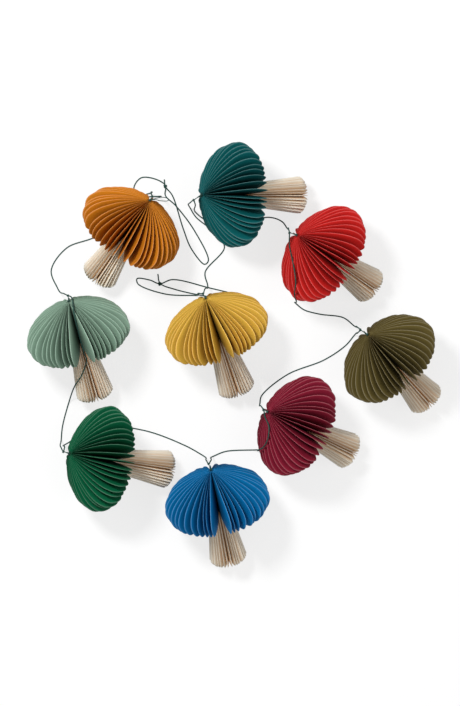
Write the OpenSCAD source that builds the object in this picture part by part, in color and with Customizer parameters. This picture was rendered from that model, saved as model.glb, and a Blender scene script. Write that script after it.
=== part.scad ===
// Paper mushroom garland: nine folded paper mushrooms tied to one string, laid out on a flat surface.
// Each mushroom lies as it comes to rest, on the rim of its cap and the foot of its stem.

/* [Cap] */
// Radius of the cap at its widest
cap_radius = 57.5; // [50:0.5:62]
// Distance from the apex to the widest part of the cap
cap_depth = 40; // [36:0.5:46]
// How far the rounded lip reaches past the widest part
lip_reach = 16; // [12:1:20]
// How far the rounded lip draws in from the widest part
lip_round = 16; // [10:1:20]
// Radius of the small flat at the apex, where the thread comes out
apex_radius = 3.5; // [3:0.25:5]
// Radius that the inner folds are gathered to, round the axis
cap_core = 2; // [1.5:0.25:2.5]
// Distance from the apex to where the cap ends on the stem
seat_at = 45; // [42:0.5:47]
// Depth over which the folds close up above the stem
seat_depth = 3; // [2:0.5:5]
// Number of pleats round the cap
cap_pleats = 37; // [25:2:37]

/* [Stem] */
// Radius of the stem where it meets the cap
stem_neck = 11.5; // [9:0.5:12.5]
// Radius of the stem at its foot
stem_foot = 20.5; // [17:0.5:22]
// Radius that the stem's inner folds are gathered to
stem_core = 3; // [2:0.25:4]
// Length and depth of the corner that is rounded off at the foot
foot_round = 3; // [2:0.5:5]
// Number of pleats round the stem
stem_pleats = 25; // [17:2:27]

/* [Fan] */
// How far the pleats crowd together along the top, in degrees
crowd = 15; // [0:1:20]
// Angle on each side of the top over which a parting between the pleats dies out
parting_width = 25; // [15:1:35]

/* [String and ties] */
// Diameter of the string
string_diameter = 1.4; // [1:0.1:2]
// Diameter of the doubled thread of a tie
thread_diameter = 1.4; // [1:0.1:1.5]
// Radius of the small knot at each apex
apex_knot_radius = 1.7; // [1.5:0.1:2.5]
// How far the middle of that knot stands out from the apex
apex_knot_out = 0.9; // [0.8:0.1:1.2]
// Radius of the knot that holds a tie to the string
tie_knot_radius = 1.8; // [1.6:0.1:2.2]
// Radius of the knot that closes a hanging loop
loop_knot_radius = 2.3; // [2.1:0.1:2.8]
// How far a tie's knot hangs below the apex
tie_drop = 2; // [1:0.5:4]

/* [Mustard mushroom] */
// Apex, across and up the layout
mustard_at = [-89.5, 163.5]; // [-240:0.5:240]
// Direction in which the stem points
mustard_turn = 235; // [0:1:359]
// Length from the apex to the foot
mustard_length = 111; // [105:0.5:122]
// How far the top pleats part to each side, in degrees
mustard_part = 1; // [0:0.5:9]

/* [Sage mushroom] */
// Apex, across and up the layout
sage_at = [-175, 56.5]; // [-240:0.5:240]
// Direction in which the stem points
sage_turn = 285; // [0:1:359]
// Length from the apex to the foot
sage_length = 115.5; // [105:0.5:122]
// How far the top pleats part to each side, in degrees
sage_part = 8; // [0:0.5:9]

/* [Green mushroom] */
// Apex, across and up the layout
green_at = [-174, -105]; // [-240:0.5:240]
// Direction in which the stem points
green_turn = 350; // [0:1:359]
// Length from the apex to the foot
green_length = 118; // [105:0.5:122]
// How far the top pleats part to each side, in degrees
green_part = 2; // [0:0.5:9]

/* [Blue mushroom] */
// Apex, across and up the layout
blue_at = [-24, -123]; // [-240:0.5:240]
// Direction in which the stem points
blue_turn = 281; // [0:1:359]
// Length from the apex to the foot
blue_length = 112; // [105:0.5:122]
// How far the top pleats part to each side, in degrees
blue_part = 7; // [0:0.5:9]

/* [Maroon mushroom] */
// Apex, across and up the layout
maroon_at = [37, -61]; // [-240:0.5:240]
// Direction in which the stem points
maroon_turn = 334; // [0:1:359]
// Length from the apex to the foot
maroon_length = 112; // [105:0.5:122]
// How far the top pleats part to each side, in degrees
maroon_part = 2; // [0:0.5:9]

/* [Olive mushroom] */
// Apex, across and up the layout
olive_at = [143, 21]; // [-240:0.5:240]
// Direction in which the stem points
olive_turn = 313; // [0:1:359]
// Length from the apex to the foot
olive_length = 110; // [105:0.5:122]
// How far the top pleats part to each side, in degrees
olive_part = 0; // [0:0.5:9]

/* [Red mushroom] */
// Apex, across and up the layout
red_at = [68, 127]; // [-240:0.5:240]
// Direction in which the stem points
red_turn = 326; // [0:1:359]
// Length from the apex to the foot
red_length = 111; // [105:0.5:122]
// How far the top pleats part to each side, in degrees
red_part = 0; // [0:0.5:9]

/* [Teal mushroom] */
// Apex, across and up the layout
teal_at = [-33.5, 170]; // [-240:0.5:240]
// Direction in which the stem points
teal_turn = 1; // [0:1:359]
// Length from the apex to the foot
teal_length = 118; // [105:0.5:122]
// How far the top pleats part to each side, in degrees
teal_part = 2; // [0:0.5:9]

/* [Yellow mushroom] */
// Apex, across and up the layout
yellow_at = [-29.5, 59.5]; // [-240:0.5:240]
// Direction in which the stem points
yellow_turn = 289; // [0:1:359]
// Length from the apex to the foot
yellow_length = 115.5; // [105:0.5:122]
// How far the top pleats part to each side, in degrees
yellow_part = 5; // [0:0.5:9]

/* [Hidden] */
// Each mushroom: apex, turn, length, colour, the way from its apex to its tie knot, and its parting
MUSTARD = [mustard_at, mustard_turn, mustard_length, [0.75, 0.45, 0.12], [3.5, 5], mustard_part];
SAGE = [sage_at, sage_turn, sage_length, [0.45, 0.6, 0.5], [-1, 6.5], sage_part];
GREEN = [green_at, green_turn, green_length, [0, 0.33, 0.22], [-7, 2], green_part];
BLUE = [blue_at, blue_turn, blue_length, [0, 0.36, 0.62], [-2.5, 7], blue_part];
MAROON = [maroon_at, maroon_turn, maroon_length, [0.48, 0.12, 0.2], [-5, 2.5], maroon_part];
OLIVE = [olive_at, olive_turn, olive_length, [0.34, 0.3, 0.15], [-8, 5.5], olive_part];
RED = [red_at, red_turn, red_length, [0.8, 0.14, 0.12], [-8.5, 3], red_part];
TEAL = [teal_at, teal_turn, teal_length, [0.03, 0.33, 0.33], [-9, -5.5], teal_part];
YELLOW = [yellow_at, yellow_turn, yellow_length, [0.9, 0.68, 0.2], [-3, 5.5], yellow_part];
MUSHROOMS = [MUSTARD, SAGE, GREEN, BLUE, MAROON, OLIVE, RED, TEAL, YELLOW];
STEM_COLOUR = [0.9, 0.82, 0.7];
STRING_COLOUR = [0.15, 0.28, 0.25];

// A point on the string as [across, up, height of its underside above the surface]
// Where a loop crosses itself, one side passes over the other
over = string_diameter + 0.7;
MUSTARD_END = [-73.5, 181.5];
MUSTARD_TAIL = [-74.5, 189];
YELLOW_END = [-79.5, 76.5];
YELLOW_TAIL = [-81.5, 87];
MUSTARD_LINK = [
    [-87.5, 171.4, 66.5], [-91, 173.8, 0], [-104.5, 171, 0], [-107.3, 180.5, 0], [-99.5, 190.8, 0],
    [-83, 189, 0],
];
MUSTARD_LOOP = [
    [-66, 172, 0], [-54, 135.5, 0], [-45.5, 114.5, 0], [-31, 97.5, 0], [-27, 101.5, 0],
    [-42.5, 134.5, 0], [-62, 160.5, over], [-73.5, 172, 0],
];
MUSTARD_SAGE = [
    [-80.5, 168.5, 66.5], [-83, 170.7, 0], [-93, 170, 0], [-117, 162.5, 0], [-146, 129, 0], [-180, 115, 0],
    [-196.5, 91, 0], [-190, 72.5, 0], [-180.2, 64.9, 58],
];
SAGE_GREEN = [
    [-172.5, 61.5, 68], [-170.9, 56.6, 73], [-168.9, 43.8, 86.5], [-161.6, 12.5, 73], [-159.2, 3, 69],
    [-156.8, -6.5, 54.8], [-162, -21.5, 46.6], [-169.5, -32.5, 32.8], [-177, -50, 2], [-184.3, -77, 0],
    [-185.6, -90.5, 0], [-183.3, -99.2, 66],
];
GREEN_BLUE = [
    [-179.9, -99.2, 66], [-179.2, -95.5, 0], [-145, -78, 0], [-97, -81.5, 0], [-52, -98, 0],
    [-33.5, -108.3, 0], [-28.6, -113, 66],
];
BLUE_MAROON = [
    [-24.3, -112.9, 66], [-21.3, -109.3, 0], [-8, -104.2, 0], [23.8, -102.6, 2], [26.4, -101.6, 56.5],
    [31.5, -98.5, 65.5], [36.5, -89, 76], [37.5, -76, 76.5], [33.5, -66, 69],
];
MAROON_OLIVE = [
    [29.9, -55.4, 66], [28.6, -52.2, 0], [30.2, -44.5, 0], [58, -21.5, 0], [98, -5.5, 0], [121, 10, 0],
    [130.3, 21, 1], [132.6, 23.8, 66],
];
OLIVE_RED = [
    [132, 29.3, 66], [129.6, 31.6, 0], [118.5, 40, 0], [93, 43.8, 0], [76, 48.5, 0], [67.9, 54.8, 0],
    [66.9, 57.5, 59.5], [65, 63, 64.5], [66, 79, 77.5], [62.5, 101, 74], [59.5, 117, 61.5],
];
RED_TEAL = [
    [58.6, 133.7, 66], [57.5, 137, 0], [52.5, 143.5, 0], [38, 148.2, 0], [-12.5, 136.5, 0], [-33, 147, 0],
    [-40.2, 153, 0], [-41, 161, 66],
];
TEAL_YELLOW = [
    [-45.6, 162.3, 66], [-46.2, 157.5, 0], [-40.5, 148.5, 0], [-20, 131.5, 0], [-9.7, 116, 0],
    [-30.5, 89, 0], [-27.9, 75.5, 0], [-30.8, 69.2, 66],
];
YELLOW_LINK = [
    [-36.5, 65.4, 66], [-42, 64, 0], [-73.5, 65.5, 0], [-103, 76.5, 0], [-104, 82, 0], [-90, 80.5, 0],
];
YELLOW_LOOP = [
    [-66, 81, 0], [-27.5, 72.5, 0], [7, 62.5, 0], [10, 58, 0], [-23, 62, 0], [-63, 70.5, 0],
];

// Points along the cap's upper curve, and the angles of the points round its lip
crown_steps = 4;
crown_swell = 0.8;
crown_spacing = 1.3;
lip_angles = [55, 115];
// The stem's outline bends at this share of its length below the cap, after this share of its flare
waist_at = 0.5;
waist_out = 0.5;
tube_sides = 8;
curve_fn = 32;

// A leaf's outline as [distance from the apex, radius], from the apex over the crown and lip to the stem
function crown(share) = apex_radius + (cap_radius - apex_radius) * sin(90 * pow(share, crown_swell));
function cap_outline() = concat(
    [for (i = [0:crown_steps]) let (share = pow(i / crown_steps, crown_spacing))
        [cap_depth * share, crown(share)]],
    [for (a = lip_angles)
        [cap_depth + lip_reach * sin(a), cap_radius - lip_round + lip_round * cos(a)]],
    [[seat_at, stem_neck]]
);
function stem_outline(length) = [
    [seat_at, stem_neck],
    [seat_at + waist_at * (length - seat_at), stem_neck + waist_out * (stem_foot - stem_neck)],
    [length - foot_round, stem_foot],
    [length, stem_foot - foot_round],
];

// The tilt at which the rim and the foot both touch the surface, found by halving
function reach(outline, tilt) = max([for (p = outline) p[0] * sin(tilt) + p[1] * cos(tilt)]);
function rest_tilt(length, low = 5, high = 60, left = 30) =
    left == 0 ? (low + high) / 2
    : let (mid = (low + high) / 2)
      reach(cap_outline(), mid) > reach(stem_outline(length), mid)
        ? rest_tilt(length, mid, high, left - 1)
        : rest_tilt(length, low, mid, left - 1);
function apex_height(length) = reach(cap_outline(), rest_tilt(length));

// The angle of a pleat, counted from straight down; pleats crowd along the top and part at its middle
function pleat_angle(place, pleats, part) =
    let (even = 360 * place / pleats, turned = even + crowd * sin(even), off = turned - 180)
    turned + (abs(off) < 0.001 ? 0 : part * sign(off) * exp(-abs(off) / parting_width));

// Pleats as thin folded leaves: outer folds along the outline, inner folds along the gathered line
// The outer points up to each turn fan out from one inner point, and the next ones from the next
module pleated(outline, pleats, part, inner, turns) {
    n = len(outline);
    m = len(inner);
    first = pleats * n;
    middle = first + pleats * m;
    points = concat(
        [for (i = [0:pleats - 1]) let (a = pleat_angle(i, pleats, part)) for (p = outline)
            [p[1] * cos(a), p[1] * sin(a), p[0]]],
        [for (i = [0:pleats - 1]) let (a = pleat_angle(i + 0.5, pleats, part)) for (p = inner)
            [p[1] * cos(a), p[1] * sin(a), p[0]]],
        [[0, 0, inner[0][0]], [0, 0, inner[m - 1][0]]]
    );
    faces = [for (i = [0:pleats - 1])
        let (
            here = i * n,
            next = ((i + 1) % pleats) * n,
            fold = first + i * m,
            back = first + ((i + pleats - 1) % pleats) * m
        )
        each concat(
            [for (k = [0:n - 2]) let (f = past(k, turns)) each [
                [here + k, here + k + 1, fold + f],
                [here + k + 1, here + k, back + f],
            ]],
            [for (k = [0:m - 2]) let (o = here + turns[k]) each [
                [o, fold + k + 1, fold + k],
                [o, back + k, back + k + 1],
            ]],
            [
                [middle, here, fold], [middle, fold, next],
                [middle + 1, fold + m - 1, here + n - 1], [middle + 1, next + n - 1, fold + m - 1],
            ]
        )];
    polyhedron(points = points, faces = faces, convexity = pleats);
}

// How many of the turns the outer point has passed
function past(k, turns) = len([for (t = turns) if (k >= t) t]);

// Sets a mushroom down with its apex in place and its stem pointing along its turn
module lay(m) {
    translate([m[0][0], m[0][1], apex_height(m[2])])
        rotate([0, 0, m[1]])
            rotate([0, 90 + rest_tilt(m[2]), 0])
                children();
}

module cap(m) {
    color(m[3])
        lay(m)
            pleated(
                cap_outline(),
                cap_pleats,
                m[5],
                [[0, cap_core], [seat_at - seat_depth, cap_core], [seat_at, stem_neck]],
                [crown_steps + 1, crown_steps + 1]
            );
}

module stem(m) {
    color(STEM_COLOUR)
        lay(m)
            pleated(
                stem_outline(m[2]),
                stem_pleats,
                m[5] / 2,
                [[seat_at, stem_core], [m[2], stem_core]],
                [1]
            );
}

function unit(v) = v / norm(v);
function tie_knot(m) = [m[0][0] + m[4][0], m[0][1] + m[4][1], apex_height(m[2]) - tie_drop];
// Middle of the knot on the apex, out along the mushroom's own axis
function knot_middle(m) = let (tilt = rest_tilt(m[2]))
    [m[0][0] - apex_knot_out * cos(tilt) * cos(m[1]), m[0][1] - apex_knot_out * cos(tilt) * sin(m[1]),
        apex_height(m[2]) + apex_knot_out * sin(tilt)];

// A knot seated on the apex, the thread out of it, and the knot that grips the string
module tie(m) {
    way = tie_knot(m) - knot_middle(m);
    color(STRING_COLOUR)
        intersection() {
            translate(knot_middle(m))
                rotate([0, acos(way[2] / norm(way)), atan2(way[1], way[0])])
                    union() {
                        sphere(r = apex_knot_radius, $fn = curve_fn);
                        cylinder(h = norm(way), d = thread_diameter, $fn = curve_fn);
                        translate([0, 0, norm(way)])
                            sphere(r = tie_knot_radius, $fn = curve_fn);
                    }
            lay(m)
                translate([0, 0, -25])
                    cube(50, center = true);
        }
}

// Lifts a route's points so that the string's underside has their heights
function raised(route) = [for (p = route) [p[0], p[1], p[2] + string_diameter / 2]];
function end_knot(at) = [at[0], at[1], loop_knot_radius];
// The point on a knot's surface on the way to the next point of a route, just clear of the knot
function edge(knot, radius, next) = knot + (radius + 0.05) * unit(next - knot);
function squared(v, way) = unit(v - (v * way) * way);

// A round string through the given centre points
module strand(points) {
    last = len(points) - 1;
    ways = [for (i = [0:last])
        unit(unit(points[min(i + 1, last)] - points[min(i, last - 1)])
            + unit(points[max(i, 1)] - points[max(i - 1, 0)]))];
    ups = [for (i = 0, up = squared([0.1, 0.2, 1], ways[0]);
                i <= last;
                i = i + 1, up = squared(up, ways[min(i, last)])) up];
    rings = [for (i = [0:last]) let (side = cross(ways[i], ups[i]))
        for (k = [0:tube_sides - 1]) let (a = 360 * k / tube_sides)
            points[i] + string_diameter / 2 * (cos(a) * ups[i] + sin(a) * side)];
    walls = [for (i = [0:last - 1], k = [0:tube_sides - 1])
        let (next = (k + 1) % tube_sides, here = i * tube_sides, there = here + tube_sides)
        [here + k, there + k, there + next, here + next]];
    ends = [
        [for (k = [0:tube_sides - 1]) k],
        [for (k = [tube_sides - 1:-1:0]) last * tube_sides + k],
    ];
    polyhedron(points = rings, faces = concat(walls, ends), convexity = 6);
}

// A length of string between two knots
module span(from, from_radius, route, to, to_radius) {
    middle = raised(route);
    strand(concat(
        [edge(from, from_radius, middle[0])],
        middle,
        [edge(to, to_radius, middle[len(middle) - 1])]
    ));
}

module between(first, route, second) {
    span(tie_knot(first), tie_knot_radius, route, tie_knot(second), tie_knot_radius);
}

// The short cut end beyond a loop's knot
module tail(knot, tip) {
    end = [tip[0], tip[1], string_diameter / 2];
    strand([edge(knot, loop_knot_radius, end), end]);
}

module all_string() {
    color(STRING_COLOUR) {
        between(MUSTARD, MUSTARD_SAGE, SAGE);
        between(SAGE, SAGE_GREEN, GREEN);
        between(GREEN, GREEN_BLUE, BLUE);
        between(BLUE, BLUE_MAROON, MAROON);
        between(MAROON, MAROON_OLIVE, OLIVE);
        between(OLIVE, OLIVE_RED, RED);
        between(RED, RED_TEAL, TEAL);
        between(TEAL, TEAL_YELLOW, YELLOW);
        span(tie_knot(MUSTARD), tie_knot_radius, MUSTARD_LINK, end_knot(MUSTARD_END), loop_knot_radius);
        span(end_knot(MUSTARD_END), loop_knot_radius, MUSTARD_LOOP, end_knot(MUSTARD_END), loop_knot_radius);
        tail(end_knot(MUSTARD_END), MUSTARD_TAIL);
        span(tie_knot(YELLOW), tie_knot_radius, YELLOW_LINK, end_knot(YELLOW_END), loop_knot_radius);
        span(end_knot(YELLOW_END), loop_knot_radius, YELLOW_LOOP, end_knot(YELLOW_END), loop_knot_radius);
        tail(end_knot(YELLOW_END), YELLOW_TAIL);
    }
}

module loop_knot(at) {
    color(STRING_COLOUR)
        translate(end_knot(at))
            sphere(r = loop_knot_radius, $fn = curve_fn);
}

cap(MUSTARD);  // mustard_cap
stem(MUSTARD);  // mustard_stem
tie(MUSTARD);  // mustard_tie
cap(SAGE);  // sage_cap
stem(SAGE);  // sage_stem
tie(SAGE);  // sage_tie
cap(GREEN);  // green_cap
stem(GREEN);  // green_stem
tie(GREEN);  // green_tie
cap(BLUE);  // blue_cap
stem(BLUE);  // blue_stem
tie(BLUE);  // blue_tie
cap(MAROON);  // maroon_cap
stem(MAROON);  // maroon_stem
tie(MAROON);  // maroon_tie
cap(OLIVE);  // olive_cap
stem(OLIVE);  // olive_stem
tie(OLIVE);  // olive_tie
cap(RED);  // red_cap
stem(RED);  // red_stem
tie(RED);  // red_tie
cap(TEAL);  // teal_cap
stem(TEAL);  // teal_stem
tie(TEAL);  // teal_tie
cap(YELLOW);  // yellow_cap
stem(YELLOW);  // yellow_stem
tie(YELLOW);  // yellow_tie
all_string();  // string
loop_knot(MUSTARD_END);  // mustard_end_knot
loop_knot(YELLOW_END);  // yellow_end_knot
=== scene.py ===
"""A garland of nine folded paper mushrooms on one string, lying on a plain white surface."""
import math
import bpy
import numpy as np
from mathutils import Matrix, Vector


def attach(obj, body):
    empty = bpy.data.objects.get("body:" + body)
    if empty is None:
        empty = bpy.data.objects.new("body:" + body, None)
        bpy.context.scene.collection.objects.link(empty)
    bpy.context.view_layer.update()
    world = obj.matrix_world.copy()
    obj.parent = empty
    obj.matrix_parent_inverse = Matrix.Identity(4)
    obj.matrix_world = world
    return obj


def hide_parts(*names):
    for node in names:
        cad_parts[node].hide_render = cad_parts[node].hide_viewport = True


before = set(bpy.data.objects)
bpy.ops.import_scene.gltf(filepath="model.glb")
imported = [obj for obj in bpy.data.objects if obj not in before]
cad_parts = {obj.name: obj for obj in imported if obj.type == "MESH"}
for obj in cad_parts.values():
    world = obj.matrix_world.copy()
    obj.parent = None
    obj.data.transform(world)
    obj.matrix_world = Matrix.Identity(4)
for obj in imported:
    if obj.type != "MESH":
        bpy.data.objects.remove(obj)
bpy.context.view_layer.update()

MM = 0.001

# Sizes in mm and degrees, and powers of a share, the same as in the part's source.
CAP_RADIUS, CAP_DEPTH, CAP_CORE, APEX_RADIUS = 57.5, 40.0, 2.0, 3.5
LIP_REACH, LIP_ROUND, LIP_ANGLES = 16.0, 16.0, (55, 115)
CROWN_STEPS, SWELL, SPACING = 4, 0.8, 1.3
SEAT_AT, SEAT_DEPTH = 45.0, 3.0
STEM_NECK, STEM_FOOT, STEM_CORE, FOOT_ROUND = 11.5, 20.5, 3.0, 3.0
CAP_PLEATS, STEM_PLEATS = 37, 25
CROWD, PARTING_WIDTH = 15.0, 25.0
STRING_R = 0.7
TIE_DROP, APEX_OUT, LOOP_KNOT = 2.0, 0.9, 2.3
OVER = 2.1  # height at which the string lies on another length of itself

# Apex from above, turn of the axis, length, the knot's place from the apex, parting of the leaves.
MUSHROOMS = {
    "mustard": ((-89.5, 163.5), 235, 111, (3.5, 5), 1),
    "sage": ((-175, 56.5), 285, 115.5, (-1, 6.5), 8),
    "green": ((-174, -105), 350, 118, (-7, 2), 2),
    "blue": ((-24, -123), 281, 112, (-2.5, 7), 7),
    "maroon": ((37, -61), 334, 112, (-5, 2.5), 2),
    "olive": ((143, 21), 313, 110, (-8, 5.5), 0),
    "red": ((68, 127), 326, 111, (-8.5, 3), 0),
    "teal": ((-33.5, 170), 1, 118, (-9, -5.5), 2),
    "yellow": ((-29.5, 59.5), 289, 115.5, (-3, 5.5), 5),
}
MUSTARD_END, MUSTARD_TAIL = (-73.5, 181.5), (-74.5, 189)
YELLOW_END, YELLOW_TAIL = (-79.5, 76.5), (-81.5, 87)

# The string's way from knot to knot, as points on its underside.
ROUTES = {
    "mustard_link": [
        (-87.5, 171.4, 66.5), (-91, 173.8, 0), (-104.5, 171, 0), (-107.3, 180.5, 0),
        (-99.5, 190.8, 0), (-83, 189, 0)],
    "mustard_loop": [
        (-66, 172, 0), (-54, 135.5, 0), (-45.5, 114.5, 0), (-31, 97.5, 0), (-27, 101.5, 0),
        (-42.5, 134.5, 0), (-62, 160.5, OVER), (-73.5, 172, 0)],
    "mustard_sage": [
        (-80.5, 168.5, 66.5), (-83, 170.7, 0), (-93, 170, 0), (-117, 162.5, 0), (-146, 129, 0),
        (-180, 115, 0), (-196.5, 91, 0), (-190, 72.5, 0), (-180.2, 64.9, 58)],
    "sage_green": [
        (-172.5, 61.5, 68), (-170.9, 56.6, 73), (-168.9, 43.8, 86.5), (-161.6, 12.5, 73),
        (-159.2, 3, 69), (-156.8, -6.5, 54.8), (-162, -21.5, 46.6), (-169.5, -32.5, 32.8),
        (-177, -50, 2), (-184.3, -77, 0), (-185.6, -90.5, 0), (-183.3, -99.2, 66)],
    "green_blue": [
        (-179.9, -99.2, 66), (-179.2, -95.5, 0), (-145, -78, 0), (-97, -81.5, 0), (-52, -98, 0),
        (-33.5, -108.3, 0), (-28.6, -113, 66)],
    "blue_maroon": [
        (-24.3, -112.9, 66), (-21.3, -109.3, 0), (-8, -104.2, 0), (23.8, -102.6, 2),
        (26.4, -101.6, 56.5), (31.5, -98.5, 65.5), (36.5, -89, 76), (37.5, -76, 76.5),
        (33.5, -66, 69)],
    "maroon_olive": [
        (29.9, -55.4, 66), (28.6, -52.2, 0), (30.2, -44.5, 0), (58, -21.5, 0), (98, -5.5, 0),
        (121, 10, 0), (130.3, 21, 1), (132.6, 23.8, 66)],
    "olive_red": [
        (132, 29.3, 66), (129.6, 31.6, 0), (118.5, 40, 0), (93, 43.8, 0), (76, 48.5, 0),
        (67.9, 54.8, 0), (66.9, 57.5, 59.5), (65, 63, 64.5), (66, 79, 77.5), (62.5, 101, 74),
        (59.5, 117, 61.5)],
    "red_teal": [
        (58.6, 133.7, 66), (57.5, 137, 0), (52.5, 143.5, 0), (38, 148.2, 0), (-12.5, 136.5, 0),
        (-33, 147, 0), (-40.2, 153, 0), (-41, 161, 66)],
    "teal_yellow": [
        (-45.6, 162.3, 66), (-46.2, 157.5, 0), (-40.5, 148.5, 0), (-20, 131.5, 0),
        (-9.7, 116, 0), (-30.5, 89, 0), (-27.9, 75.5, 0), (-30.8, 69.2, 66)],
    "yellow_link": [
        (-36.5, 65.4, 66), (-42, 64, 0), (-73.5, 65.5, 0), (-103, 76.5, 0), (-104, 82, 0),
        (-90, 80.5, 0)],
    "yellow_loop": [
        (-66, 81, 0), (-27.5, 72.5, 0), (7, 62.5, 0), (10, 58, 0), (-23, 62, 0),
        (-63, 70.5, 0)],
}

# Across half a leaf: share of the angle from its edge to the fold, share of the way to the core.
FOLD = [
    (0.0, 0.0), (0.03, 0.0), (0.09, 0.03), (0.30, 0.22), (0.58, 0.53), (0.82, 0.80), (1.0, 1.0)]
EDGE_TO = 0.04          # share of the angle that has the painted highlight on the ridge, partly the pale cut edge
PAINTED_SHADE_POWER = 0.55      # how soon the painted shade in the folds darkens the paper on the way in
DRIFTS = (1.0, 0.6, 0.4)                     # sizes of the slow waves of stray leaves
DRIFT_WAVES, DRIFT_MORE = 2, 9               # waves round the axis, and more for the larger
RIPPLE_LENGTH, RIPPLE_STEP = 9, 2.1          # radians along a leaf, and from leaf to leaf
CROWN_ROWS, UNDER_ROWS, STEM_ROWS = 5, 5, 8  # rows of the mesh per span of the outline
LEAST_TILT, MOST_TILT, TILT_HALVINGS = 5.0, 60.0, 30
STRING_STEP, CLEARANCE = 1.5, 0.02           # of the cord's points, and over the surface

rng = np.random.default_rng(7)


def cap_outline():
    """Points (along the axis, radius) from the apex over the lip to the seat of the stem."""
    points = []
    for i in range(CROWN_STEPS + 1):
        share = (i / CROWN_STEPS) ** SPACING
        swell = math.sin(math.radians(90 * share ** SWELL))
        points.append((CAP_DEPTH * share, APEX_RADIUS + (CAP_RADIUS - APEX_RADIUS) * swell))
    for angle in LIP_ANGLES:
        t = math.radians(angle)
        points.append((CAP_DEPTH + LIP_REACH * math.sin(t),
                       CAP_RADIUS - LIP_ROUND + LIP_ROUND * math.cos(t)))
    points.append((SEAT_AT, STEM_NECK))
    return points


def stem_outline(length):
    middle = (SEAT_AT + 0.5 * (length - SEAT_AT), STEM_NECK + 0.5 * (STEM_FOOT - STEM_NECK))
    return [(SEAT_AT, STEM_NECK), middle, (length - FOOT_ROUND, STEM_FOOT),
            (length, STEM_FOOT - FOOT_ROUND)]


def reach(outline, tilt):
    """How far below the apex the outline hangs when the axis dips by the tilt."""
    s, c = math.sin(math.radians(tilt)), math.cos(math.radians(tilt))
    return max(a * s + r * c for a, r in outline)


def rest_tilt(length):
    """The dip at which the lip of the cap and the foot of the stem both touch the surface."""
    low, high = LEAST_TILT, MOST_TILT
    cap, stem = cap_outline(), stem_outline(length)
    for _ in range(TILT_HALVINGS):
        middle = (low + high) / 2
        if reach(cap, middle) > reach(stem, middle):
            low = middle
        else:
            high = middle
    return (low + high) / 2


class Place:
    """Where one mushroom lies."""

    def __init__(self, name):
        at, turn, self.length, off, self.part = MUSHROOMS[name]
        tilt = math.radians(rest_tilt(self.length))
        height = reach(cap_outline(), math.degrees(tilt))
        heading = math.radians(turn)
        ahead = np.array([math.cos(heading), math.sin(heading), 0.0])
        up = np.array([0.0, 0.0, 1.0])
        self.apex = np.array([*at, height])
        self.axis = math.cos(tilt) * ahead - math.sin(tilt) * up
        self.down = -(math.sin(tilt) * ahead + math.cos(tilt) * up)
        self.side = np.array([-math.sin(heading), math.cos(heading), 0.0])
        self.knot = np.array([at[0] + off[0], at[1] + off[1], height - TIE_DROP])

    def point(self, a, x, y):
        """Arrays in mm: a along the axis, x square to it towards the surface, y sideways."""
        return (self.apex + np.multiply.outer(a, self.axis) + np.multiply.outer(x, self.down)
                + np.multiply.outer(y, self.side))


def smooth_line(points, steps):
    """Centripetal Catmull-Rom through all points; steps per span, or mm between them if float."""
    points = np.asarray(points, float)
    ends = np.vstack([2 * points[0] - points[1], points, 2 * points[-1] - points[-2]])
    out = []
    for p0, p1, p2, p3 in zip(ends, ends[1:], ends[2:], ends[3:]):
        t0 = 0.0
        t1 = t0 + max(np.linalg.norm(p1 - p0), 1e-6) ** 0.5
        t2 = t1 + max(np.linalg.norm(p2 - p1), 1e-6) ** 0.5
        t3 = t2 + max(np.linalg.norm(p3 - p2), 1e-6) ** 0.5
        span = np.linalg.norm(p2 - p1)
        count = steps if isinstance(steps, int) else max(2, int(span / steps))
        for t in np.linspace(t1, t2, count, endpoint=False):
            a1 = (t1 - t) / (t1 - t0) * p0 + (t - t0) / (t1 - t0) * p1
            a2 = (t2 - t) / (t2 - t1) * p1 + (t - t1) / (t2 - t1) * p2
            a3 = (t3 - t) / (t3 - t2) * p2 + (t - t2) / (t3 - t2) * p3
            b1 = (t2 - t) / (t2 - t0) * a1 + (t - t0) / (t2 - t0) * a2
            b2 = (t3 - t) / (t3 - t1) * a2 + (t - t1) / (t3 - t1) * a3
            out.append((t2 - t) / (t2 - t1) * b1 + (t - t1) / (t2 - t1) * b2)
    out.append(points[-1])
    return np.array(out)


def pleat_angle(i, pleats, part):
    """Angle of a leaf from straight down, crowded along the top and parted there."""
    even = 360 * i / pleats
    turned = even + CROWD * math.sin(math.radians(even))
    off = turned - 180
    if abs(off) < 0.001:
        return turned
    return turned + part * math.copysign(1, off) * math.exp(-abs(off) / PARTING_WIDTH)


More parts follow.
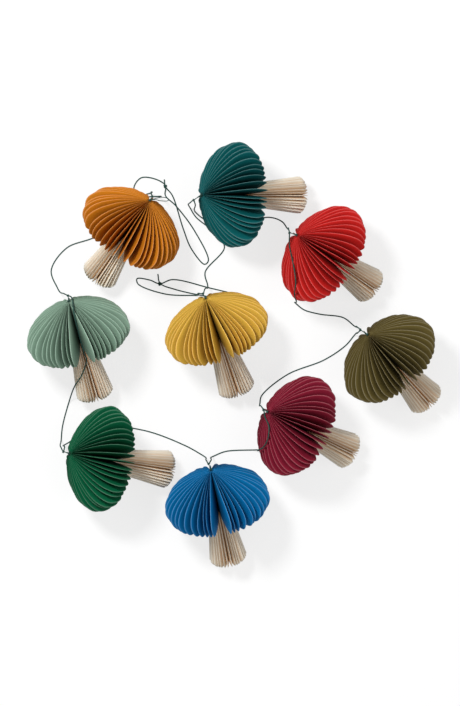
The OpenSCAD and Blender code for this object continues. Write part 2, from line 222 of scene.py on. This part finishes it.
def leaves(place, outline, inner, pleats, part, jitter, shrink, wave, drift):
    """Closed folded leaves round the axis; outline and inner are rows of (along, radius)."""
    rows = len(outline)
    ridge = np.array([math.radians(pleat_angle(i, pleats, part)) for i in range(pleats)])
    valley = np.array([math.radians(pleat_angle(i + 0.5, pleats, part)) for i in range(pleats)])
    ridge += np.radians(rng.uniform(-jitter, jitter, pleats))
    phases = rng.uniform(0, 2 * math.pi, len(DRIFTS))
    for share, phase in zip(DRIFTS, phases):
        beat = round(DRIFT_MORE * share + DRIFT_WAVES)
        ridge += np.radians(drift * share * np.sin(beat * ridge + phase))
        valley += np.radians(drift * share * np.sin(beat * valley + phase))
    size = 1 - rng.uniform(0, shrink, pleats)

    # Columns run once round the axis: fold, leaf's edge, fold.
    columns = []
    for i in range(pleats):
        before = valley[i - 1] - (2 * math.pi if i == 0 else 0)
        for fold, steps in ((before, FOLD[-2:0:-1]), (valley[i], FOLD)):
            columns += [(i, ridge[i] + (fold - ridge[i]) * f, f, g) for f, g in steps]

    verts, edge, painted_shade_share = [], [], []
    ripple = np.linspace(0, RIPPLE_LENGTH, rows)
    for i, angle, f, g in columns:
        outer = outline[:, 1] * size[i]
        radius = outer + (inner[:, 1] - outer) * g
        along = outline[:, 0] + (inner[:, 0] - outline[:, 0]) * g
        bent = angle + np.radians(wave * np.sin(ripple + RIPPLE_STEP * i) * (1 - g))
        verts.append(place.point(along, radius * np.cos(bent), radius * np.sin(bent)))
        # Painted highlight along the ridge, partly the pale cut edge.
        edge.append(np.full(rows, 1.0 if f < EDGE_TO else 0.0))
        # Painted shade: grows from the ridge towards the core, darkening the paper where the folds
        # lie in shade.
        painted_shade_share.append(np.full(rows, g ** PAINTED_SHADE_POWER))
    top = len(columns) * rows
    zero = np.zeros(2)
    verts.append(place.point(inner[[0, -1], 0], zero, zero))
    edge.append(zero)
    painted_shade_share.append(zero + 1)
    verts = np.vstack(verts)
    verts[:, 2] = np.maximum(verts[:, 2], 0.0)

    starts = [k * rows for k in range(len(columns))]
    around = list(zip(starts, starts[1:] + starts[:1]))
    faces = [(k + q, j + q, j + q + 1, k + q + 1) for k, j in around for q in range(rows - 1)]
    for k, j in around:
        faces += [(top, j, k), (top + 1, k + rows - 1, j + rows - 1)]
    return verts, faces, {"edge": np.concatenate(edge), "deep": np.concatenate(painted_shade_share)}


def cap_rows():
    """Matching rows of the cap's outline and of its core."""
    points = np.array(cap_outline())
    crown = smooth_line(points[:-1], CROWN_ROWS)
    outline = np.vstack([crown, np.linspace(points[-2], points[-1], UNDER_ROWS + 1)[1:]])
    turn = CROWN_ROWS * (CROWN_STEPS + 1)
    core_end = SEAT_AT - SEAT_DEPTH
    inner = []
    for k in range(len(outline)):
        if k <= turn:
            inner.append((core_end * k / turn, CAP_CORE))
        else:
            t = (k - turn) / (len(outline) - 1 - turn)
            inner.append((core_end + SEAT_DEPTH * t, CAP_CORE + (STEM_NECK - CAP_CORE) * t))
    return outline, np.array(inner)


def stem_rows(length):
    """Matching rows of the stem's outline and of its core."""
    points = np.array(stem_outline(length))
    outline = np.vstack([smooth_line(points[:-1], STEM_ROWS), points[-1:]])
    last = len(outline) - 1
    inner = [(SEAT_AT + (length - SEAT_AT) * k / last, STEM_CORE) for k in range(last + 1)]
    return outline, np.array(inner)


# Materials.
def srgb(r, g, b):
    """A colour of 0 to 255 as Blender's linear values."""
    out = []
    for c in (r, g, b):
        c = c / 255
        out.append(c / 12.92 if c <= 0.04045 else ((c + 0.055) / 1.055) ** 2.4)
    return (*out, 1.0)


def scaled(tone, factor):
    return (*(min(1, c * factor) for c in tone[:3]), 1)


def paler(tone, share):
    return (*(min(1, c + share * (1 - c)) for c in tone[:3]), 1)


def node(nt, kind, x, y, **values):
    nd = nt.nodes.new(kind)
    nd.location = (x, y)
    for key, val in values.items():
        if key in nd.inputs:
            nd.inputs[key].default_value = val
        else:
            setattr(nd, key, val)
    return nd


def material(name, roughness):
    mat = bpy.data.materials.new(name)
    mat.use_nodes = True
    nt = mat.node_tree
    bsdf = nt.nodes["Principled BSDF"]
    bsdf.inputs["Roughness"].default_value = roughness
    return mat, nt, bsdf


def noise(nt, coords, x, y, **values):
    tex = node(nt, "ShaderNodeTexNoise", x, y, **values)
    nt.links.new(coords.outputs["Object"], tex.inputs["Vector"])
    return tex.outputs["Fac"]


def colour_mix(nt, x, y, share, second, first=None, colour=None):
    """From the first colour, or the colour socket, to the second by the share socket."""
    mix = node(nt, "ShaderNodeMixRGB", x, y, Color2=second)
    if colour is None:
        mix.inputs["Color1"].default_value = first
    else:
        nt.links.new(colour, mix.inputs["Color1"])
    nt.links.new(share, mix.inputs["Fac"])
    return mix.outputs["Color"]


def bump(nt, bsdf, x, y, height, **values):
    nd = node(nt, "ShaderNodeBump", x, y, **values)
    nt.links.new(height, nd.inputs["Height"])
    nt.links.new(nd.outputs["Normal"], bsdf.inputs["Normal"])


def paper(name, tone, edge, deep, roughness=0.75):
    """Mottled paper, darkened to a tone of painted shade in the folds and lightened to a painted
    highlight on the ridges, partly the pale cut edge.
    """
    mat, nt, bsdf = material(name, roughness)
    bsdf.inputs["Specular IOR Level"].default_value = 0.12
    coords = node(nt, "ShaderNodeTexCoord", -1100, 0)
    cloud = noise(nt, coords, -900, 200, Scale=38.0, Detail=5.0, Roughness=0.6)
    at_highlit_cut_edge = node(nt, "ShaderNodeAttribute", -900, -100, attribute_name="edge")
    at_painted_fold_shade = node(nt, "ShaderNodeAttribute", -900, -300, attribute_name="deep")
    colour = colour_mix(nt, -650, 200, cloud, scaled(tone, 1.18), first=scaled(tone, 0.82))
    # Painted shade: the colour darkens to the fold tone deeper in the folds.
    colour = colour_mix(nt, -450, 200, at_painted_fold_shade.outputs["Fac"], deep, colour=colour)
    # Painted highlight on the ridges, partly the pale cut edge.
    colour = colour_mix(nt, -250, 200, at_highlit_cut_edge.outputs["Fac"], edge, colour=colour)
    nt.links.new(colour, bsdf.inputs["Base Color"])
    fibre = noise(nt, coords, -900, -500, Scale=900.0, Detail=3.0)
    bump(nt, bsdf, -450, -400, fibre, Strength=0.25, Distance=0.0004)
    return mat


def twine(name, tone):
    mat, nt, bsdf = material(name, 0.8)
    coords = node(nt, "ShaderNodeTexCoord", -900, 0)
    fibre = noise(nt, coords, -700, 0, Scale=700.0, Detail=3.0)
    colour = colour_mix(nt, -400, 100, fibre, scaled(tone, 1.4), first=scaled(tone, 0.6))
    nt.links.new(colour, bsdf.inputs["Base Color"])
    bump(nt, bsdf, -400, -200, fibre, Strength=0.5, Distance=0.0003)
    return mat


TONES = {
    "mustard": (220, 134, 26),
    "sage": (150, 182, 160),
    "green": (4, 106, 68),
    "blue": (0, 128, 194),
    "maroon": (158, 34, 60),
    "olive": (116, 102, 54),
    "red": (228, 42, 38),
    "teal": (4, 102, 104),
    "yellow": (254, 198, 78),
}
PAPERS = {}
for name, tone in TONES.items():
    tone = srgb(*tone)
    # The paler tone is a painted highlight on the ridges, partly the cut edge; the tone at 0.16 is
    # painted shade deep in the folds.
    PAPERS[name] = paper(name + "_paper", tone, paler(tone, 0.09), scaled(tone, 0.16))
# Stem paper: the third tone is a painted highlight on the ridges, partly the cut edge; the fourth
# is painted shade in the folds.
CREAM = paper(
    "cream_paper", srgb(255, 244, 226), srgb(255, 250, 240), srgb(236, 196, 150), 0.8)
TWINE = twine("string", srgb(32, 74, 66))

# Camera, straight above.
VIEW_HEIGHT = 755.4 * MM  # seen from top to bottom, at VIEW_LEVEL above the surface
CAMERA_HEIGHT, VIEW_LEVEL = 5.0, 0.04
SENSOR = 24.0
cam = bpy.data.objects.new("camera", bpy.data.cameras.new("camera"))
bpy.context.scene.collection.objects.link(cam)
bpy.context.scene.camera = cam
cam.location = (-3.7 * MM, 1.9 * MM, CAMERA_HEIGHT)
cam.rotation_euler = (0, 0, 0)
cam.data.sensor_fit = "VERTICAL"
cam.data.sensor_height = SENSOR
cam.data.lens = SENSOR * (CAMERA_HEIGHT - VIEW_LEVEL) / VIEW_HEIGHT
cam.data.clip_end = 50


def tube_curve(name, lines, radius, resolution=3):
    """Round string along lines of points in mm."""
    cu = bpy.data.curves.new(name, "CURVE")
    cu.dimensions = "3D"
    cu.bevel_depth = radius * MM
    cu.bevel_resolution = resolution
    cu.use_fill_caps = True
    for points in lines:
        spline = cu.splines.new("POLY")
        spline.points.add(len(points) - 1)
        fourth = np.ones((len(points), 1))
        spline.points.foreach_set("co", np.hstack([np.asarray(points) * MM, fourth]).ravel())
        spline.use_smooth = True
    cu.materials.append(TWINE)
    ob = bpy.data.objects.new(name, cu)
    bpy.context.scene.collection.objects.link(ob)
    return ob


def paper_object(name, verts, faces, attributes, mat):
    me = bpy.data.meshes.new(name)
    me.from_pydata([tuple(v) for v in verts * MM], [], faces)
    me.update()
    me.polygons.foreach_set("use_smooth", [True] * len(me.polygons))
    for key, values in attributes.items():
        layer = me.attributes.new(key, "FLOAT", "POINT")
        layer.data.foreach_set("value", np.asarray(values, dtype=np.float32))
    ob = bpy.data.objects.new(name, me)
    bpy.context.scene.collection.objects.link(ob)
    me.materials.append(mat)
    return ob


def stand_for(ob, part):
    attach(ob, "root")
    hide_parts(part)


# The string, one cord from tail to tail.
PLACES = {name: Place(name) for name in MUSHROOMS}
END_KNOTS = {"mustard": np.array([*MUSTARD_END, LOOP_KNOT]),
             "yellow": np.array([*YELLOW_END, LOOP_KNOT])}
SECOND_PASS = (0.4, 0.6, 0.4)  # how far the string's second way through an end knot lies off


def lifted(key):
    return [(x, y, z + STRING_R) for x, y, z in ROUTES[key]]


first, last = END_KNOTS["mustard"], END_KNOTS["yellow"]
line = [(*MUSTARD_TAIL, STRING_R), first, *lifted("mustard_loop"), first + SECOND_PASS,
        *lifted("mustard_link")[::-1]]
order = list(MUSHROOMS)
for name, after in zip(order, order[1:]):
    line += [PLACES[name].knot, *lifted(name + "_" + after)]
line += [PLACES[order[-1]].knot, *lifted("yellow_link"), last, *lifted("yellow_loop"),
         last + SECOND_PASS, (*YELLOW_TAIL, STRING_R)]
path = smooth_line(line, STRING_STEP)
path[:, 2] = np.maximum(path[:, 2], STRING_R + CLEARANCE)

cord = tube_curve("garland_string", [path], STRING_R)
stand_for(cord, "string")

# Knots and ties.
TREFOIL_POINTS, TREFOIL_FLAT = 60, 0.45
TIE_R, TIE_TWIST, TIE_POINTS = 0.42, 2.5, 16
STRAND_OUT = 0.4   # from the middle of a tie to each of its two strands
KNOT_SIZE, APEX_KNOT_SIZE, TIE_KNOT_SIZE = 1.6, 1.15, 1.35
KNOT_AXIS, APEX_KNOT_OUT = (0.3, 0.2, 1), 0.2
SPARE_START, SPARE_STEPS = (0.5, -3.0, 0.5), 8
SPARE_LOOP = [(2, 0.6, 0), (9, 2.2, -2), (15, 1.0, -5), (16.3, -0.6, -5.6), (15, -1.6, -5),
              (8, -1.6, -2), (2, -0.4, 0)]


def trefoil(centre, size, axis):
    """A small tied knot, as a closed line."""
    t = np.linspace(0, 2 * math.pi, TREFOIL_POINTS, endpoint=False)
    x = np.sin(t) + 2 * np.sin(2 * t)
    y = np.cos(t) - 2 * np.cos(2 * t)
    z = -np.sin(3 * t)
    points = np.stack([x / 3, y / 3, z * TREFOIL_FLAT], 1) * size
    turn = Vector((0, 0, 1)).rotation_difference(Vector(axis)).to_matrix()
    points = points @ np.array(turn).T
    return np.vstack([points, points[:1]]) + centre


for name, centre in END_KNOTS.items():
    knot = name + "_end_knot"
    ob = tube_curve(knot + "_look", [trefoil(centre, KNOT_SIZE, KNOT_AXIS)], STRING_R)
    stand_for(ob, knot)

for name, place in PLACES.items():
    start = place.apex - place.axis * APEX_OUT
    end = place.knot
    way = end - start
    out = way / np.linalg.norm(way)
    across = np.cross(out, (0, 0, 1))
    across /= np.linalg.norm(across)
    up = np.cross(across, out)
    t = np.linspace(0, 1, TIE_POINTS)
    lines = []
    for phase in (0, math.pi):
        turn = phase + t * TIE_TWIST
        strand = np.outer(np.cos(turn), across) + np.outer(np.sin(turn), up)
        lines.append(start + np.outer(t, way) + STRAND_OUT * strand)
    lines.append(trefoil(start - place.axis * APEX_KNOT_OUT, APEX_KNOT_SIZE, tuple(out)))
    lines.append(trefoil(end, TIE_KNOT_SIZE, tuple(out)))
    if name == "mustard":
        spare = end + np.array(SPARE_START)
        points = [start, *(spare + p for p in SPARE_LOOP), start]
        lines.append(smooth_line(points, SPARE_STEPS))
    ob = tube_curve(name + "_tie_look", lines, TIE_R, 2)
    stand_for(ob, name + "_tie")

# The mushrooms: caps, then stems, each with its own small irregularity in degrees and shares.
CAP_LOOK = {"jitter": 0.7, "shrink": 0.04, "wave": 0.5, "drift": 1.2}
STEM_LOOK = {"jitter": 0.8, "shrink": 0.03, "wave": 0.3, "drift": 1.5}
for name, place in PLACES.items():
    look = leaves(place, *cap_rows(), CAP_PLEATS, place.part, **CAP_LOOK)
    ob = paper_object(name + "_cap_look", *look, PAPERS[name])
    stand_for(ob, name + "_cap")
    look = leaves(place, *stem_rows(place.length), STEM_PLEATS, place.part / 2, **STEM_LOOK)
    ob = paper_object(name + "_stem_look", *look, CREAM)
    stand_for(ob, name + "_stem")

# The surface: plain to the light, white with a soft shadow to the eye. In metres.
WIDE = 4
me = bpy.data.meshes.new("surface")
corners = [(-WIDE, -WIDE, 0), (WIDE, -WIDE, 0), (WIDE, WIDE, 0), (-WIDE, WIDE, 0)]
me.from_pydata(corners, [], [(0, 1, 2, 3)])
floor = bpy.data.objects.new("surface", me)
bpy.context.scene.collection.objects.link(floor)
surface = bpy.data.materials.new("surface")
surface.use_nodes = True
nt = surface.node_tree
nt.nodes.remove(nt.nodes["Principled BSDF"])
plain = node(nt, "ShaderNodeBsdfDiffuse", -400, 200, Color=(0.7, 0.7, 0.7, 1))
seen = node(nt, "ShaderNodeBsdfDiffuse", -400, 0, Color=(0.30, 0.30, 0.30, 1))
glow = node(nt, "ShaderNodeEmission", -400, -150, Color=(1, 1, 1, 1), Strength=0.74)
both = node(nt, "ShaderNodeAddShader", -200, 0)
nt.links.new(seen.outputs[0], both.inputs[0])
nt.links.new(glow.outputs[0], both.inputs[1])
ray = node(nt, "ShaderNodeLightPath", -800, 400)
first = node(nt, "ShaderNodeMath", -600, 400, operation="MAXIMUM")
nt.links.new(ray.outputs["Is Camera Ray"], first.inputs[0])
nt.links.new(ray.outputs["Is Glossy Ray"], first.inputs[1])
second = node(nt, "ShaderNodeMath", -400, 400, operation="MAXIMUM")
nt.links.new(first.outputs[0], second.inputs[0])
nt.links.new(ray.outputs["Is Transmission Ray"], second.inputs[1])
mix = node(nt, "ShaderNodeMixShader", 0, 200)
for socket, source in enumerate((second, plain, both)):
    nt.links.new(source.outputs[0], mix.inputs[socket])
nt.links.new(mix.outputs[0], nt.nodes["Material Output"].inputs["Surface"])
me.materials.append(surface)

# Light. Of each lamp: place, width, power.
LAMPS = {"key": ((-0.75, 0.8, 1.9), 0.4, 31), "fill": ((1.2, -0.3, 1.8), 1.2, 6)}
world = bpy.data.worlds.new("world")
bpy.context.scene.world = world
world.use_nodes = True
bg = world.node_tree.nodes["Background"]
bg.inputs["Color"].default_value = (1, 1, 1, 1)
bg.inputs["Strength"].default_value = 0.36

for name, (place, size, power) in LAMPS.items():
    lamp = bpy.data.lights.new(name, "AREA")
    lamp.shape = "SQUARE"
    lamp.size = size
    lamp.energy = power
    ob = bpy.data.objects.new(name, lamp)
    ob.location = place
    ob.rotation_euler = (-Vector(place)).to_track_quat("-Z", "Y").to_euler()
    bpy.context.scene.collection.objects.link(ob)

bpy.context.scene.view_settings.view_transform = "Standard"
